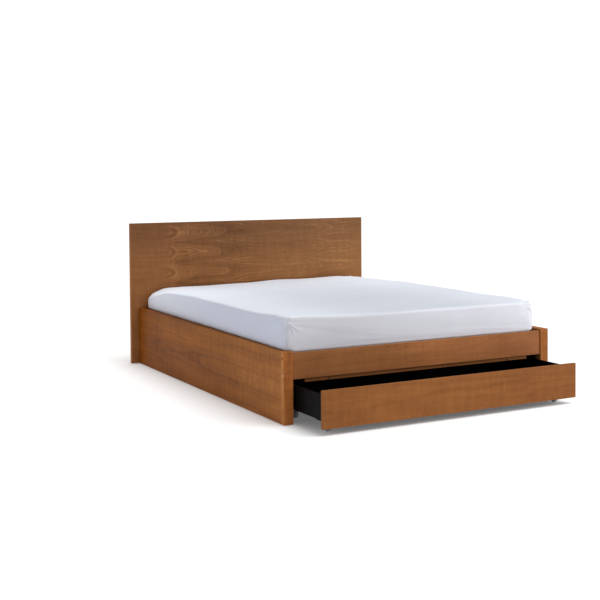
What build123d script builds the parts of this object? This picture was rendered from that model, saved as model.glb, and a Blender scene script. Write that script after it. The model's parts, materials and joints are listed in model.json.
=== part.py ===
from build123d import *
import os

# Platform bed with one full-width storage drawer under the foot end.
# Millimetres. +Z is up, the foot end faces -Y, the headboard stands at +Y, and the
# origin lies on the floor under the middle of the whole bed, drawer included.
# Inside this file y is measured from the foot end of the side panels, and
# shift_to_origin moves every finished piece to the bed's own frame.

# ---------------------------------------------------------------- driving dimensions
bed_width = 1650            # over the outer faces of the side panels
side_length = 2092          # foot end to headboard
side_thickness = 52
side_top = 361
glide_height = 2            # everything that stands on the floor stands on glides
headboard_width = 1752
headboard_top = 917
headboard_thickness = 28
board = 18                  # thickness of the rails, the drawer front and the slats
edge_round = 1.5            # eased edges of the thick boards
thin_edge_round = 0.8       # eased edges of the thin ones
rail_setback = 6.4          # the foot rail sits behind the ends of the side panels
rail_bottom = 221.5
rail_top = 352

drawer_open_by = 295        # how far the drawer stands out of its closed place
drawer_front_width = 1538
drawer_front_bottom = 32
drawer_front_top = 215
drawer_width = 1526         # over the outer faces of the drawer's sides
drawer_depth = 500          # front face to the back of the box
drawer_box_bottom = 71
drawer_box_top = 193
drawer_board = 12
drawer_floor = 86           # underside of the bottom panels
bottom_thickness = 6
groove_depth = 5

wheel_radius = 20
wheel_width = 18
wheel_spots_x = 694
wheel_spots_y = (-201, 135)

mattress_width = 1545
mattress_length = 2045
mattress_top = 516
mattress_overhang = 30      # how far its foot end lies over the edge of the left panel
mattress_front = 22
mattress_corner_radius = 30
mattress_rim_radius = 25

slat_count = 12
slat_width = 105
slat_gap_to_rails = 6

# ---------------------------------------------------------------- derived dimensions
inner_x = bed_width / 2 - side_thickness
panel_middle_x = bed_width / 2 - side_thickness / 2
headboard_back = side_length + headboard_thickness
rail_back = rail_setback + board
rail_middle = rail_setback + board / 2
slat_bottom = rail_top - board
drawer_face = rail_setback - drawer_open_by
drawer_front_back = drawer_face + board
drawer_rear = drawer_face + drawer_depth
drawer_half = drawer_width / 2
drawer_inner = drawer_half - drawer_board
head_rail_front = side_length - board
middle_of_length = (drawer_face + headboard_back) / 2

# fits of the fasteners
hole_clearance = 0.1
bolt_clearance = 0.2
thread_clearance = 0.05
hole_end_space = 0.5        # a blind hole is this much longer than what it holds
driver_recess = 2.4
driver_recess_depth = 1.6


# ---------------------------------------------------------------- shape helpers
def block(x_span, y_span, z_span, rounding=0):
    """Rectangular piece between two x, two y and two z values."""
    centre = [(low + high) / 2 for low, high in (x_span, y_span, z_span)]
    size = [high - low for low, high in (x_span, y_span, z_span)]
    piece = Pos(*centre) * Box(*size)
    if rounding:
        piece = fillet(piece.edges(), rounding)
    return piece


def mirrored(piece):
    """The same piece on the other side of the bed."""
    return mirror(piece, about=Plane.YZ)


def rod(start, direction, radius, length):
    """Round bar that begins at start and runs along direction."""
    return Plane(origin=start, z_dir=direction).location * Cylinder(
        radius, length, align=(Align.CENTER, Align.CENTER, Align.MIN)
    )


def countersunk(start, direction, radius, length, head_radius):
    """Cone-headed body, its flat head at start and its tip along direction."""
    head_depth = head_radius - radius
    cone = Cone(head_radius, radius, head_depth, align=(Align.CENTER, Align.CENTER, Align.MIN))
    shank = Pos(0, 0, head_depth) * Cylinder(
        radius, length - head_depth, align=(Align.CENTER, Align.CENTER, Align.MIN)
    )
    return Plane(origin=start, z_dir=direction).location * (cone + shank)


def wood_screw(start, direction, length, radius=2.0, head_radius=4.0):
    """Countersunk wood screw with a square driver recess."""
    screw = countersunk(start, direction, radius, length, head_radius)
    recess = Plane(origin=start, z_dir=direction).location * Box(
        driver_recess, driver_recess, 2 * driver_recess_depth
    )
    return screw - recess


def screw_hole(start, direction, length, radius=2.0, head_radius=4.0):
    """Space cut for a wood screw."""
    return countersunk(
        start, direction, radius + hole_clearance, length + hole_end_space, head_radius + hole_clearance
    )


def cut_all(piece, cutters):
    """Piece with every cutter taken out of it."""
    for cutter in cutters:
        piece = piece - cutter
    return piece


def shift_to_origin(shape):
    """From the foot end of the side panels to the middle of the whole bed."""
    return Pos(0, -middle_of_length, 0) * shape


def solids_of(shape):
    """Every separate solid in a shape or a list of shapes."""
    if isinstance(shape, (list, tuple)):
        return [solid for piece in shape for solid in solids_of(piece)]
    return list(shape.solids())


def write_node(name, shape):
    """Write one sub-part, or a group of identical ones, as one STEP file."""
    solids = [shift_to_origin(solid) for solid in solids_of(shape)]
    result = solids[0] if len(solids) == 1 else Compound(children=solids)
    export_step(result, f"parts/{name}.step")


# ---------------------------------------------------------------- rail bolts
# Each end of the foot rail is drawn to its side panel by two bolts that start in the
# panel's outer face and end in barrel nuts let into the back of the rail.
rail_bolt_heights = (243, 329)
bolt_radius = 3
bolt_head_radius = 6
bolt_head_height = 5
bolt_recess_radius = 6.5
bolt_recess_depth = 10
rail_nut_x = 743
nut_radius = 5
rail_nut_length = 14
bolt_tip = 12               # how far a bolt reaches past the middle of its nut
bolt_hole_tip = 16
nut_bore_length = 20
socket_radius = 2.6
socket_depth = 3
cap_length = 4.6


def bolt_socket(origin, direction):
    """Hexagonal recess in the head of a bolt."""
    top = Plane(origin=origin, z_dir=direction)
    return extrude(top * RegularPolygon(socket_radius, 6), -socket_depth)


def rail_bolt(height):
    """Socket-head connector bolt through the right side panel."""
    seat = bed_width / 2 - bolt_recess_depth
    shank = rod((seat, rail_middle, height), (-1, 0, 0), bolt_radius, seat - rail_nut_x + bolt_tip)
    head = rod((seat, rail_middle, height), (1, 0, 0), bolt_head_radius, bolt_head_height)
    return shank + head - bolt_socket((seat + bolt_head_height, rail_middle, height), (1, 0, 0))


def rail_bolt_space(height):
    """Clearance hole and recess for one rail bolt, through panel and rail."""
    outer = bed_width / 2
    length = outer - rail_nut_x + bolt_hole_tip
    shank = rod((outer, rail_middle, height), (-1, 0, 0), bolt_radius + bolt_clearance, length)
    recess = rod((outer, rail_middle, height), (-1, 0, 0), bolt_recess_radius, bolt_recess_depth)
    return shank + recess


def rail_nut(height):
    """Barrel nut in the back of the foot rail."""
    start = rail_middle - rail_nut_length / 2
    barrel = rod((rail_nut_x, start, height), (0, 1, 0), nut_radius, rail_nut_length)
    bore_start = (rail_nut_x - nut_bore_length / 2, rail_middle, height)
    return barrel - rod(bore_start, (1, 0, 0), bolt_radius + thread_clearance, nut_bore_length)


def rail_nut_space(height):
    """Pocket for a barrel nut, open at the back of the rail."""
    start = rail_middle - rail_nut_length / 2 - bolt_clearance
    radius = nut_radius + hole_clearance
    return rod((rail_nut_x, start, height), (0, 1, 0), radius, rail_back - start)


def bolt_cap():
    """Cover cap pressed into the recess of the lower rail bolt."""
    seat = bed_width / 2 - bolt_recess_depth + bolt_head_height + bolt_clearance
    radius = bolt_recess_radius - hole_clearance
    cap = rod((seat, rail_middle, rail_bolt_heights[0]), (1, 0, 0), radius, cap_length)
    rim = cap.edges().sort_by(Axis.X)[-1]
    return fillet(rim, thin_edge_round)


# ---------------------------------------------------------------- headboard bolts
# Three bolts a side run from the back of the headboard into the ends of the side
# panels, where barrel nuts come in from the panels' inner faces.
headboard_bolt_heights = (60, 170, 280)
headboard_nut_y = side_length - 40
headboard_head_radius = 8
headboard_head_height = 4
headboard_recess_depth = 6
headboard_recess_radius = 9
headboard_nut_length = 16


def headboard_bolt(height):
    """Flat-headed bolt through the headboard into the right side panel."""
    seat = headboard_back - headboard_recess_depth
    length = seat - headboard_nut_y + bolt_tip
    shank = rod((panel_middle_x, seat, height), (0, -1, 0), bolt_radius, length)
    head = rod((panel_middle_x, seat, height), (0, 1, 0), headboard_head_radius, headboard_head_height)
    return shank + head - bolt_socket((panel_middle_x, seat + headboard_head_height, height), (0, 1, 0))


def headboard_bolt_space(height):
    """Clearance hole and recess for one headboard bolt."""
    back = (panel_middle_x, headboard_back, height)
    length = headboard_back - headboard_nut_y + bolt_hole_tip
    shank = rod(back, (0, -1, 0), bolt_radius + bolt_clearance, length)
    recess = rod(back, (0, -1, 0), headboard_recess_radius, headboard_recess_depth)
    return shank + recess


def headboard_nut(height):
    """Barrel nut in the end of the right side panel."""
    start = panel_middle_x - headboard_nut_length / 2
    barrel = rod((start, headboard_nut_y, height), (1, 0, 0), nut_radius, headboard_nut_length)
    bore_start = (panel_middle_x, headboard_nut_y - nut_bore_length / 2, height)
    return barrel - rod(bore_start, (0, 1, 0), bolt_radius + thread_clearance, nut_bore_length)


def headboard_nut_space(height):
    """Pocket for that barrel nut, open on the panel's inner face."""
    end = panel_middle_x + headboard_nut_length / 2 + bolt_clearance
    radius = nut_radius + hole_clearance
    return rod((inner_x, headboard_nut_y, height), (1, 0, 0), radius, end - inner_x)


# ---------------------------------------------------------------- dowels and glides
dowel_radius = 4
dowel_length = 36
dowel_hole_length = 38
rail_dowel_height = 286
headboard_dowel_heights = (112, 225)


def right_dowels(radius=dowel_radius, length=dowel_length):
    """Wooden dowels that line up the right-hand joints, or rods of another size in their places."""
    half = length / 2
    dowels = [rod((inner_x - half, rail_middle, rail_dowel_height), (1, 0, 0), radius, length)]
    for height in headboard_dowel_heights:
        dowels.append(rod((panel_middle_x, side_length - half, height), (0, 1, 0), radius, length))
    return dowels


def right_dowel_spaces():
    """Holes for those dowels, a little longer at each end."""
    return right_dowels(dowel_radius + hole_clearance, dowel_hole_length)


glide_radius = 11
narrow_glide_radius = 8.5
glide_pin_radius = 2
glide_pin_length = 12
bay_back_front = 560
centre_leg_y = 1300
side_glide_ys = (60, 1040, 2020)
headboard_glide_xs = (-500, 500)
bay_glide_xs = (-400, 400)


def glide_spots():
    """Floor point and radius of every nail-on glide."""
    spots = [(side * panel_middle_x, y, glide_radius) for side in (-1, 1) for y in side_glide_ys]
    spots += [(x, side_length + headboard_thickness / 2, glide_radius) for x in headboard_glide_xs]
    spots += [(x, bay_back_front + board / 2, narrow_glide_radius) for x in bay_glide_xs]
    spots.append((0, centre_leg_y, glide_radius))
    return spots


def floor_glide(x, y, radius):
    """Round plastic glide with the nail that holds it."""
    foot = rod((x, y, 0), (0, 0, 1), radius, glide_height)
    foot = fillet(foot.edges().sort_by(Axis.Z)[0], thin_edge_round)
    return foot + rod((x, y, glide_height), (0, 0, 1), glide_pin_radius, glide_pin_length)


def glide_holes():
    """Nail holes in the undersides of the pieces that stand on the floor."""
    radius = glide_pin_radius + hole_clearance
    depth = glide_height + glide_pin_length + hole_end_space
    return [rod((x, y, 0), (0, 0, 1), radius, depth) for x, y, _ in glide_spots()]


# ---------------------------------------------------------------- slats and what holds them
ledger_size = 30
ledger_bottom = slat_bottom - ledger_size
ledger_end_gap = 2
ledger_screw_first = 150
ledger_screw_pitch = 255
ledger_screw_count = 8
slat_first = rail_back + slat_gap_to_rails
slat_last = head_rail_front - slat_gap_to_rails
slat_pitch = (slat_last - slat_first - slat_width) / (slat_count - 1)
slat_end_gap = 3
slat_half_length = inner_x - slat_end_gap
slat_edge_round = 2
slat_screw_inset = 2        # towards the panel from the middle of the ledger
slat_screw_offset = 9       # clear of the ledger's own screws
screw_length = 40


def ledger_screws(maker):
    """Screws, or their holes, through the right ledger into the side panel."""
    height = ledger_bottom + ledger_size / 2
    start_x = inner_x - ledger_size
    ys = [ledger_screw_first + ledger_screw_pitch * step for step in range(ledger_screw_count)]
    return [maker((start_x, y, height), (1, 0, 0), screw_length) for y in ys]


def slat_screws(maker):
    """Screws, or their holes, down through the right ends of the slats."""
    x = inner_x - ledger_size / 2 + slat_screw_inset
    first = slat_first + slat_width / 2 + slat_screw_offset
    ys = [first + slat_pitch * step for step in range(slat_count)]
    return [maker((x, y, rail_top), (0, 0, -1), screw_length) for y in ys]


def slat(step):
    """One flat pine slat, with a hole for the screw at each end."""
    front = slat_first + slat_pitch * step
    plank = block((-slat_half_length, slat_half_length), (front, front + slat_width),
                  (slat_bottom, rail_top), slat_edge_round)
    hole = slat_screws(screw_hole)[step]
    return cut_all(plank, [hole, mirrored(hole)])


strap_x = 480
strap_width = 25
strap_thickness = 1.2


def slat_strap():
    """Woven strap stapled along the underside of the slats."""
    return block((strap_x - strap_width / 2, strap_x + strap_width / 2), (slat_first, slat_last),
                 (slat_bottom - strap_thickness, slat_bottom))


# ---------------------------------------------------------------- centre support
beam_width = 45
beam_bottom = 264
hanger_sheet = 2
hanger_wing = 45
hanger_reach = 45
hanger_top_gap = 4
hanger_screw_x = 35
hanger_screw_length = 14
hanger_screw_heights = (282, 318)


def beam_hanger():
    """Pressed steel cradle screwed to the back of the foot rail."""
    back_plane = (rail_back, rail_back + hanger_sheet)
    floor_z = (beam_bottom - hanger_sheet, beam_bottom)
    full_z = (beam_bottom - hanger_sheet, slat_bottom - hanger_top_gap)
    half = beam_width / 2
    reach = (rail_back, rail_back + hanger_reach)
    plate = block((-hanger_wing, hanger_wing), back_plane, full_z)
    tray = block((-half - hanger_sheet, half + hanger_sheet), reach, floor_z)
    cheek = block((half, half + hanger_sheet), reach, full_z)
    cradle = plate + tray + cheek + mirrored(cheek)
    return cut_all(cradle, hanger_screws(screw_hole))


def hanger_screws(maker):
    """Screws, or their holes, through the wings of the foot hanger into the rail."""
    start_y = rail_back + hanger_sheet
    return [maker((side * hanger_screw_x, start_y, height), (0, -1, 0), hanger_screw_length)
            for side in (-1, 1) for height in hanger_screw_heights]


def at_head_end(piece):
    """Turn a foot-end piece round so that it hangs from the head rail."""
    turned = mirror(piece, about=Plane.XZ)
    return Pos(0, rail_back + head_rail_front, 0) * turned


# ---------------------------------------------------------------- steel corner brackets
bracket_size = 40
bracket_height = 30
bracket_heights = (50, 190)
bracket_screw_length = 14
bracket_screw_reach = 24    # from the corner to the middle of a screw
head_bracket_height = 255


def corner_bracket(front, height, facing):
    """Steel angle in the right-hand corner between a cross board and the side panel."""
    far = front + facing * bracket_size
    thick = front + facing * hanger_sheet
    z_span = (height, height + bracket_height)
    flat = block((inner_x - bracket_size, inner_x), sorted((front, thick)), z_span)
    upright = block((inner_x - hanger_sheet, inner_x), sorted((front, far)), z_span)
    return cut_all(flat + upright, bracket_screws(screw_hole, front, height, facing))


def bracket_screws(maker, front, height, facing):
    """The two screws of one bracket, or their holes."""
    middle = height + bracket_height / 2
    board_start = (inner_x - bracket_screw_reach, front + facing * hanger_sheet, middle)
    panel_start = (inner_x - hanger_sheet, front + facing * bracket_screw_reach, middle)
    into_board = maker(board_start, (0, -facing, 0), bracket_screw_length)
    into_panel = maker(panel_start, (1, 0, 0), bracket_screw_length)
    return [into_board, into_panel]


bracket_places = [(bay_back_front + board, height, 1) for height in bracket_heights]
bracket_places.append((head_rail_front, head_bracket_height, -1))


def all_bracket_screws(maker):
    """Screws, or their holes, of every right-hand bracket."""
    return [item for place in bracket_places for item in bracket_screws(maker, *place)]


# ---------------------------------------------------------------- stop batten
stop_half_length = 693
stop_bottom = 200
stop_top = 240
stop_screw_xs = (-600, -300, 0, 300, 600)
stop_screw_height = 231
stop_screw_length = 30
head_rail_screw_xs = (-620, -310, 310, 620)
head_rail_screw_height = 300
head_rail_screw_length = 36
bumper_height = 207.5
bumper_radius = 5
bumper_thickness = 1.5
bumper_x = 560


def stop_screws(maker):
    """Screws, or their holes, through the stop batten into the foot rail."""
    start_y = rail_back + board
    return [maker((x, start_y, stop_screw_height), (0, -1, 0), stop_screw_length) for x in stop_screw_xs]


def head_rail_screws(maker):
    """Screws, or their holes, through the head rail into the headboard."""
    return [maker((x, head_rail_front, head_rail_screw_height), (0, 1, 0), head_rail_screw_length)
            for x in head_rail_screw_xs]


# ---------------------------------------------------------------- fixed pieces of the bed
def side_panel():
    """Right side panel, before its mirror image."""
    panel = block((inner_x, bed_width / 2), (0, side_length), (glide_height, side_top), edge_round)
    cutters = [rail_bolt_space(height) for height in rail_bolt_heights]
    cutters += [headboard_bolt_space(height) for height in headboard_bolt_heights]
    cutters += [headboard_nut_space(height) for height in headboard_bolt_heights]
    cutters += right_dowel_spaces() + ledger_screws(screw_hole) + glide_holes()
    cutters += all_bracket_screws(screw_hole)
    return cut_all(panel, cutters)


def headboard():
    """One tall veneered board, bored from the back for its bolts."""
    panel = block((-headboard_width / 2, headboard_width / 2), (side_length, headboard_back),
                  (glide_height, headboard_top), edge_round)
    cutters = [headboard_bolt_space(height) for height in headboard_bolt_heights]
    cutters += right_dowel_spaces()
    cutters += [mirrored(cutter) for cutter in cutters]
    return cut_all(panel, cutters + glide_holes() + head_rail_screws(screw_hole))


def foot_rail():
    """Board across the foot, above the drawer."""
    rail = block((-inner_x, inner_x), (rail_setback, rail_back), (rail_bottom, rail_top), edge_round)
    cutters = [rail_bolt_space(height) for height in rail_bolt_heights]
    cutters += [rail_nut_space(height) for height in rail_bolt_heights]
    cutters += right_dowel_spaces()
    cutters += [mirrored(cutter) for cutter in cutters]
    return cut_all(rail, cutters + stop_screws(screw_hole) + hanger_screws(screw_hole))


def head_rail():
    """Board across the head end, against the headboard."""
    rail = block((-inner_x, inner_x), (head_rail_front, side_length), (rail_bottom, rail_top))
    cutters = head_rail_screws(screw_hole)
    cutters += [at_head_end(hole) for hole in hanger_screws(screw_hole)]
    cutters += all_bracket_screws(screw_hole)
    cutters += [mirrored(hole) for hole in all_bracket_screws(screw_hole)]
    return cut_all(rail, cutters)


def slat_ledger():
    """Right-hand pine strip that the slats rest on."""
    y_span = (rail_back + ledger_end_gap, head_rail_front - ledger_end_gap)
    strip = block((inner_x - ledger_size, inner_x), y_span, (ledger_bottom, slat_bottom), edge_round)
    return cut_all(strip, ledger_screws(screw_hole) + slat_screws(screw_hole))


def bay_back():
    """Upright board that closes the drawer's bay and carries the centre beam."""
    y_span = (bay_back_front, bay_back_front + board)
    panel = block((-inner_x, inner_x), y_span, (glide_height, beam_bottom))
    holes = all_bracket_screws(screw_hole)
    return cut_all(panel, holes + [mirrored(hole) for hole in holes] + glide_holes())


liner_thickness = 3
liner_front = 50
liner_top = 300
liner_bottom = 4
liner_rear_gap = 1


def bay_liner():
    """Thin black board on the side panel's inner face, where the drawer runs."""
    return block((inner_x - liner_thickness, inner_x), (liner_front, bay_back_front - liner_rear_gap),
                 (liner_bottom, liner_top))


def centre_leg():
    """Square post under the middle of the centre beam."""
    half = beam_width / 2
    y_span = (centre_leg_y - half, centre_leg_y + half)
    post = block((-half, half), y_span, (glide_height, beam_bottom), edge_round)
    return cut_all(post, glide_holes())


beam_end_gap = 0.4


def centre_beam():
    """Lengthwise beam under the middle of the slats."""
    end_gap = hanger_sheet + beam_end_gap
    return block((-beam_width / 2, beam_width / 2), (rail_back + end_gap, head_rail_front - end_gap),
                 (beam_bottom, slat_bottom), edge_round)


# ---------------------------------------------------------------- drawer
corner_block = 25
drawer_screw_heights = (104, 165)
corner_screw_heights = (118, 166)
button_radius = 10
button_thickness = 6
button_y = 160
button_heights = (100, 165)
button_round = 1.5
button_pin_radius = 2
button_pin_length = 8
groove_side_gap = 0.2
groove_face_gap = 0.1
bottom_joint_gap = 0.3
bearer_half_width = 40
joint_screw_length = 45
corner_screw_length = 36
corner_block_foot_gap = 1
corner_block_head_gap = 8
caster_block_x = (650, 738)
caster_block_half = 35
caster_top = 56


def drawer_joint_screws(maker):
    """Screws, or their holes, through the right side into the back's end."""
    y = drawer_rear - drawer_board / 2
    return [maker((drawer_half, y, height), (-1, 0, 0), joint_screw_length)
            for height in drawer_screw_heights]


def drawer_corner_screws(maker):
    """Screws, or their holes, through the right corner block into the front."""
    x = drawer_inner - corner_block / 2
    y = drawer_front_back + corner_block
    return [maker((x, y, height), (0, -1, 0), corner_screw_length) for height in corner_screw_heights]


def drawer_front():
    """Wide veneered front, grooved at the back for the bottom panels."""
    front = block((-drawer_front_width / 2, drawer_front_width / 2), (drawer_face, drawer_front_back),
                  (drawer_front_bottom, drawer_front_top), edge_round)
    holes = drawer_corner_screws(screw_hole)
    return cut_all(front, [bottom_groove()] + holes + [mirrored(hole) for hole in holes])


def bottom_groove():
    """Space that the bottom panels take up, grooves included."""
    edge = groove_depth + groove_side_gap
    return block((-drawer_inner - edge, drawer_inner + edge),
                 (drawer_front_back - edge, drawer_rear - drawer_board + edge),
                 (drawer_floor - groove_face_gap, drawer_floor + bottom_thickness + groove_face_gap))


def guide_button(height):
    """Nylon button that keeps the drawer off the bay's liner."""
    disc = rod((drawer_half, button_y, height), (1, 0, 0), button_radius, button_thickness)
    disc = fillet(disc.edges().sort_by(Axis.X)[-1], button_round)
    return disc + rod((drawer_half, button_y, height), (-1, 0, 0), button_pin_radius, button_pin_length)


def button_hole(height):
    """Blind hole for a guide button's pin."""
    radius = button_pin_radius + hole_clearance
    return rod((drawer_half, button_y, height), (-1, 0, 0), radius, button_pin_length + hole_end_space)


def drawer_side():
    """Right side of the drawer's box."""
    side = block((drawer_inner, drawer_half), (drawer_front_back, drawer_rear),
                 (drawer_box_bottom, drawer_box_top), thin_edge_round)
    holes = drawer_joint_screws(screw_hole) + [button_hole(height) for height in button_heights]
    return cut_all(side, [bottom_groove()] + holes)


def drawer_back():
    """Back of the drawer's box, between its sides."""
    back = block((-drawer_inner, drawer_inner), (drawer_rear - drawer_board, drawer_rear),
                 (drawer_box_bottom, drawer_box_top), thin_edge_round)
    holes = drawer_joint_screws(screw_hole)
    return cut_all(back, [bottom_groove()] + holes + [mirrored(hole) for hole in holes])


def drawer_bottom():
    """Right half of the drawer's bottom."""
    return block((bottom_joint_gap, drawer_inner + groove_depth),
                 (drawer_front_back - groove_depth, drawer_rear - drawer_board + groove_depth),
                 (drawer_floor, drawer_floor + bottom_thickness))


def centre_bearer():
    """Flat bearer under the joint between the bottom panels."""
    return block((-bearer_half_width, bearer_half_width),
                 (drawer_front_back, drawer_rear - drawer_board), (drawer_box_bottom, drawer_floor))


def drawer_corner_block():
    """Upright block glued in the right front corner of the box."""
    foot = drawer_floor + bottom_thickness + corner_block_foot_gap
    post = block((drawer_inner - corner_block, drawer_inner),
                 (drawer_front_back, drawer_front_back + corner_block),
                 (foot, drawer_box_top - corner_block_head_gap), thin_edge_round)
    return cut_all(post, drawer_corner_screws(screw_hole))


# ---------------------------------------------------------------- casters
fork_sheet = 2
fork_gap = wheel_width / 2 + 1
plate_half_x = 36
plate_half_y = 27
plate_corner_radius = 5
fork_tip_radius = 8
fork_top_width = 34
fork_top_height = 4
bore_length = 40            # long enough to pass through the fork and the wheel
caster_screw_x = 27
caster_screw_y = 19
caster_screw_length = 22
axle_radius = 3
axle_play = 0.06
rivet_radius = 4.6
rivet_height = 1.8
tread_round = 2.5
dish_depth = 2.5
rim_width = 4.5
hub_radius = 7


def caster_screws(maker, y):
    """The four screws of one right-hand caster, or their holes."""
    under_plate = caster_top - fork_sheet
    return [maker((wheel_spots_x + side_x * caster_screw_x, y + side_y * caster_screw_y, under_plate),
                  (0, 0, 1), caster_screw_length)
            for side_x in (-1, 1) for side_y in (-1, 1)]


def caster_block(y):
    """Hardwood block that a right-hand caster is screwed to."""
    piece = block(caster_block_x, (y - caster_block_half, y + caster_block_half),
                  (caster_top, drawer_floor), thin_edge_round)
    return cut_all(piece, caster_screws(screw_hole, y))


def caster_bracket(y):
    """Pressed steel plate and fork of one right-hand rigid caster."""
    plate = block((wheel_spots_x - plate_half_x, wheel_spots_x + plate_half_x),
                  (y - plate_half_y, y + plate_half_y), (caster_top - fork_sheet, caster_top))
    plate = fillet(plate.edges().filter_by(Axis.Z), plate_corner_radius)
    arm_tip = Pos(0, wheel_radius) * Circle(fork_tip_radius)
    arm_top = Pos(0, caster_top - fork_top_height) * Rectangle(fork_top_width, fork_top_height)
    arm = make_hull(arm_tip.edges() + arm_top.edges())
    cheek = extrude(Plane(origin=(0, 0, 0), x_dir=(0, 1, 0), z_dir=(1, 0, 0)) * arm, fork_sheet)
    fork = plate
    for start in (wheel_spots_x - fork_gap - fork_sheet, wheel_spots_x + fork_gap):
        fork = fork + Pos(start, y, 0) * cheek
    return cut_all(fork, [axle_bore(y, hole_clearance)] + caster_screws(screw_hole, y))


def axle_bore(y, play):
    """Round space along a caster's axle, wider than it by play all round."""
    start = (wheel_spots_x - bore_length / 2, y, wheel_radius)
    return rod(start, (1, 0, 0), axle_radius + play, bore_length)


def caster_axle(y):
    """Riveted axle, its two heads outside the fork."""
    reach = fork_gap + fork_sheet
    pin = rod((wheel_spots_x - reach, y, wheel_radius), (1, 0, 0), axle_radius, 2 * reach)
    for side in (-1, 1):
        head_start = (wheel_spots_x + side * reach, y, wheel_radius)
        pin = pin + rod(head_start, (side, 0, 0), rivet_radius, rivet_height)
    return pin


def caster_wheel(y):
    """Grey plastic wheel with a dished face and a plain bore."""
    tread = rod((wheel_spots_x - wheel_width / 2, y, wheel_radius), (1, 0, 0), wheel_radius, wheel_width)
    tread = fillet(tread.edges().filter_by(GeomType.CIRCLE), tread_round)
    for side in (-1, 1):
        face = wheel_spots_x + side * wheel_width / 2
        dish = rod((face, y, wheel_radius), (-side, 0, 0), wheel_radius - rim_width, dish_depth)
        hub = rod((face, y, wheel_radius), (-side, 0, 0), hub_radius, dish_depth)
        tread = tread - (dish - hub)
    return tread - axle_bore(y, axle_play)


# ---------------------------------------------------------------- mattress
mattress_gap = 0.3          # between the mattress and the boards round it


def mattress():
    """Foam mattress that fits between the panels at the head and lies askew, with its foot end
    over the left panel. It is notched where it lies on that panel's top."""
    rear = mattress_front + mattress_length
    rear_left = -inner_x + 2 * mattress_gap
    front_left = rear_left - mattress_overhang
    plan = Polyline(
        (front_left, mattress_front), (front_left + mattress_width, mattress_front),
        (rear_left + mattress_width - mattress_gap, rear), (rear_left, rear), close=True,
    )
    bottom = rail_top + mattress_gap
    body = extrude(Pos(0, 0, bottom) * make_face(plan), mattress_top - bottom)
    body = fillet(body.edges().filter_by(Axis.Z), mattress_corner_radius)
    body = fillet(body.faces().sort_by(Axis.Z)[-1].edges(), mattress_rim_radius)
    notch = block((-bed_width, -inner_x + mattress_gap), (-side_length, 2 * side_length),
                  (0, side_top + mattress_gap))
    return body - notch


# ---------------------------------------------------------------- the whole bed
def both_sides(pieces):
    """Right-hand pieces together with their mirror images."""
    right_hand = list(pieces)
    return right_hand + [mirrored(piece) for piece in right_hand]


def frame_nodes():
    """Everything that stands still: panels, rails, slats and their fittings."""
    nodes = {
        "headboard_panel": headboard(),
        "right_side_panel": side_panel(),
        "left_side_panel": mirrored(side_panel()),
        "right_bay_liner": bay_liner(),
        "left_bay_liner": mirrored(bay_liner()),
        "foot_rail": foot_rail(),
        "head_rail": head_rail(),
        "right_slat_ledger": slat_ledger(),
        "left_slat_ledger": mirrored(slat_ledger()),
        "centre_beam": centre_beam(),
        "centre_leg": centre_leg(),
        "bay_back_panel": bay_back(),
        "beam_hangers": [beam_hanger(), at_head_end(beam_hanger())],
        "corner_brackets": both_sides(corner_bracket(*place) for place in bracket_places),
        "slat_straps": both_sides([slat_strap()]),
        "floor_glides": [floor_glide(*spot) for spot in glide_spots()],
        "dowels": both_sides(right_dowels()),
        "rail_bolts": both_sides(rail_bolt(height) for height in rail_bolt_heights),
        "rail_barrel_nuts": both_sides(rail_nut(height) for height in rail_bolt_heights),
        "rail_bolt_caps": both_sides([bolt_cap()]),
        "headboard_bolts": both_sides(headboard_bolt(height) for height in headboard_bolt_heights),
        "headboard_barrel_nuts": both_sides(headboard_nut(height) for height in headboard_bolt_heights),
    }
    nodes["drawer_stop_batten"] = cut_all(
        block((-stop_half_length, stop_half_length), (rail_back, rail_back + board),
              (stop_bottom, stop_top), thin_edge_round),
        stop_screws(screw_hole),
    )
    nodes["stop_bumpers"] = both_sides(
        [rod((bumper_x, rail_back, bumper_height), (0, -1, 0), bumper_radius, bumper_thickness)]
    )
    screws = both_sides(ledger_screws(wood_screw) + slat_screws(wood_screw))
    nodes["frame_screws"] = screws + stop_screws(wood_screw) + head_rail_screws(wood_screw)
    hanger_fixings = hanger_screws(wood_screw)
    hanger_fixings += [at_head_end(screw) for screw in hanger_screws(wood_screw)]
    nodes["bracket_screws"] = hanger_fixings + both_sides(all_bracket_screws(wood_screw))
    for step in range(slat_count):
        nodes[f"slat_{step + 1:02d}"] = slat(step)
    return nodes


def drawer_nodes():
    """Everything that rolls with the drawer, and its four wheels."""
    nodes = {
        "drawer_front": drawer_front(),
        "drawer_right_side": drawer_side(),
        "drawer_left_side": mirrored(drawer_side()),
        "drawer_back": drawer_back(),
        "drawer_bottom_right": drawer_bottom(),
        "drawer_bottom_left": mirrored(drawer_bottom()),
        "drawer_centre_bearer": centre_bearer(),
        "drawer_corner_blocks": both_sides([drawer_corner_block()]),
        "drawer_screws": both_sides(drawer_joint_screws(wood_screw) + drawer_corner_screws(wood_screw)),
        "drawer_guide_buttons": both_sides(guide_button(height) for height in button_heights),
        "caster_blocks": both_sides(caster_block(y) for y in wheel_spots_y),
        "caster_axles": both_sides(caster_axle(y) for y in wheel_spots_y),
        "caster_screws": both_sides(
            screw for y in wheel_spots_y for screw in caster_screws(wood_screw, y)
        ),
    }
    for place, y in zip(("front", "rear"), wheel_spots_y):
        nodes[f"caster_bracket_{place}_right"] = caster_bracket(y)
        nodes[f"caster_bracket_{place}_left"] = mirrored(caster_bracket(y))
        nodes[f"wheel_{place}_right"] = caster_wheel(y)
        nodes[f"wheel_{place}_left"] = mirrored(caster_wheel(y))
    return nodes


os.makedirs("parts", exist_ok=True)
for name, shape in {**frame_nodes(), **drawer_nodes(), "mattress": mattress()}.items():
    write_node(name, shape)
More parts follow.
